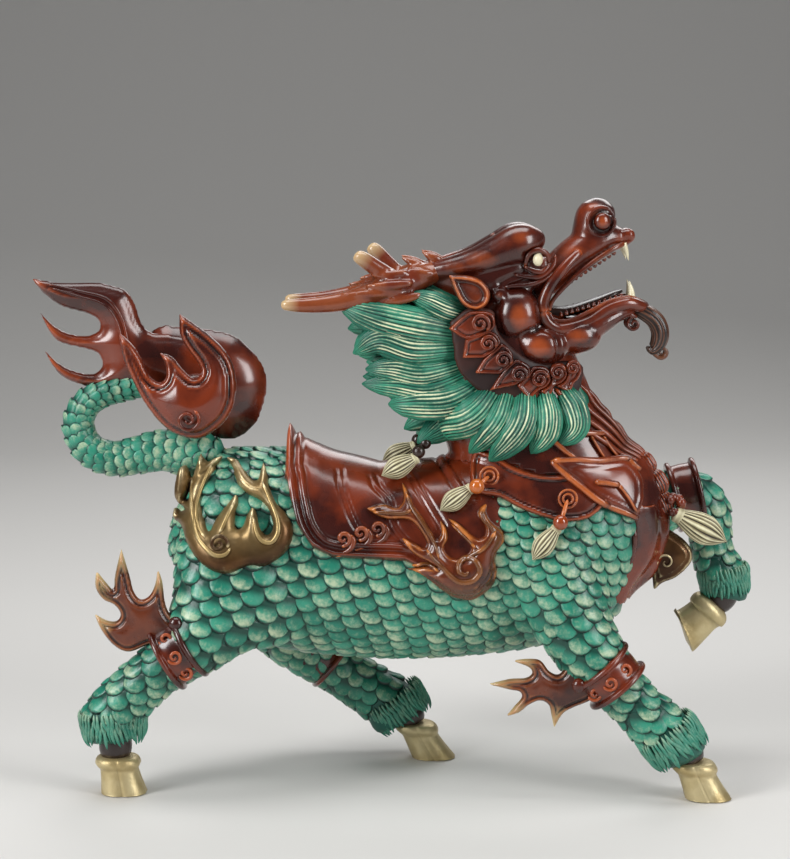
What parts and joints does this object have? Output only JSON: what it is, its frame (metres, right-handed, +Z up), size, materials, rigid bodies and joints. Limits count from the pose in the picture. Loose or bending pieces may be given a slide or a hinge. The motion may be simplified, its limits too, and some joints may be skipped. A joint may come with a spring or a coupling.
{
  "type": "qilin figure",
  "caption": "Prancing dragon-headed hoofed beast with scales, flowing mane, flame tail, saddle and tasselled harness, standing on its hooves with a foreleg raised.",
  "frame": {"origin": "on the ground, below the middle of the figure's box", "axes": "+X toward the head, +Z up, -Y the side of the two standing legs that show first in the picture, +Y the side of the raised foreleg"},
  "size_m": [0.3271, 0.0944, 0.2618],
  "materials": {
    "green_hide": "teal-green paint on scales, dry-brushed with cream gold",
    "green_mane": "teal-green paint with cream-gold brushed strands",
    "red_lacquer": "glossy dark red-brown lacquer, brighter orange-red on raised edges",
    "gold_paint": "brushed pale gold",
    "bronze_paint": "bronze gold shaded to brown in the recesses",
    "cream_paint": "cream with dark grooves",
    "amber_bead": "glossy translucent-looking amber red",
    "dark_paint": "near-black brown"
  },
  "bodies": {
    "root": {"qilin_figure": "green_hide"}
  },
  "joints": []
}
